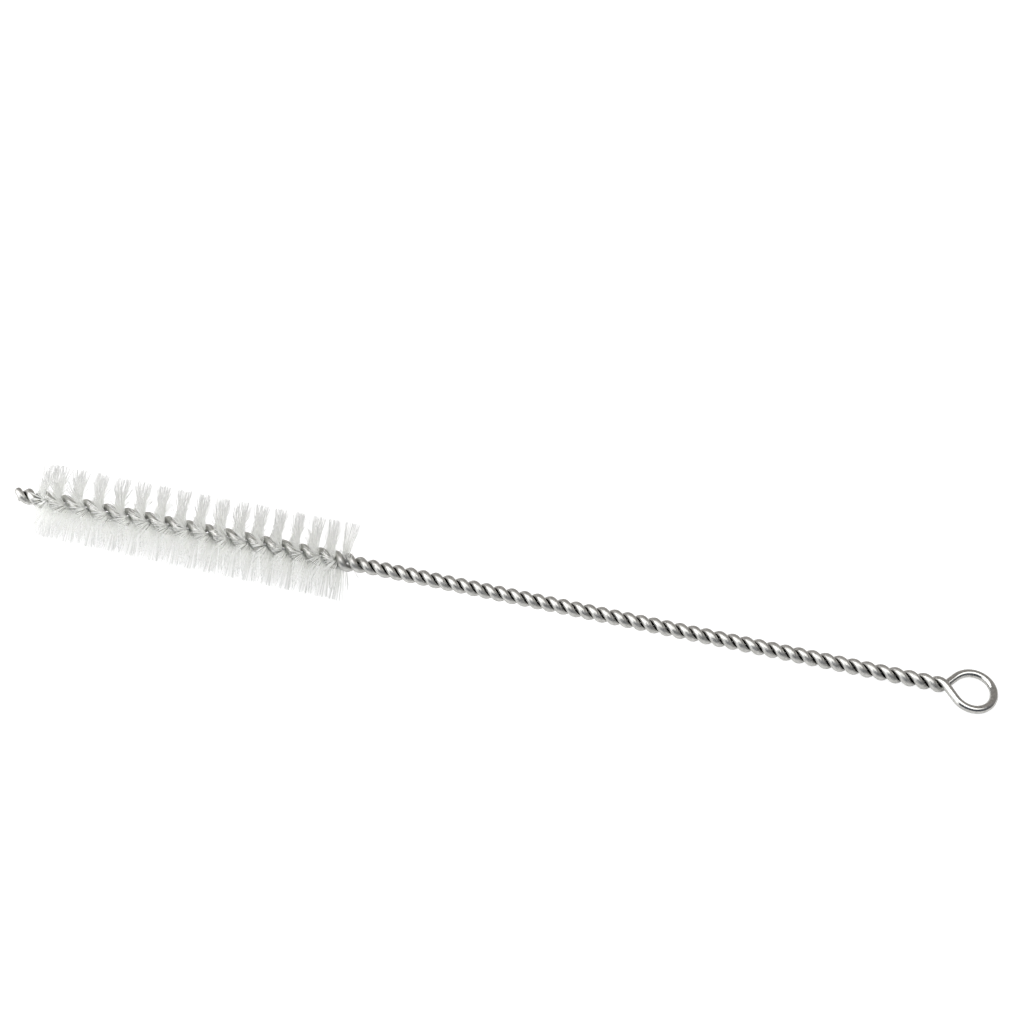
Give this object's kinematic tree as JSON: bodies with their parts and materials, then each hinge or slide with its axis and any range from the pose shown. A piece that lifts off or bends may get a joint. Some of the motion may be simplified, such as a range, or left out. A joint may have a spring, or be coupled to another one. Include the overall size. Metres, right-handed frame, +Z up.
{
  "type": "test tube brush",
  "caption": "Test tube brush: a spiral of stiff clear filaments held in a folded and twisted wire stem that ends in a hanging eye.",
  "frame": {"origin": "middle of the brush's box, on the surface that it lies on", "axes": "+X from the bristle tip towards the hanging eye, +Y across, +Z up"},
  "size_m": [0.2034, 0.0164, 0.0197],
  "materials": {
    "wire": "bright galvanised wire, satin",
    "filament": "translucent natural nylon, glossy"
  },
  "bodies": {
    "root": {"twisted_wire": "wire", "bristle_tuft_01": "filament", "bristle_tuft_02": "filament", "bristle_tuft_03": "filament", "bristle_tuft_04": "filament", "bristle_tuft_05": "filament", "bristle_tuft_06": "filament", "bristle_tuft_07": "filament", "bristle_tuft_08": "filament", "bristle_tuft_09": "filament", "bristle_tuft_10": "filament", "bristle_tuft_11": "filament", "bristle_tuft_12": "filament", "bristle_tuft_13": "filament", "bristle_tuft_14": "filament", "bristle_tuft_15": "filament", "bristle_tuft_16": "filament", "bristle_tuft_17": "filament"}
  },
  "joints": []
}
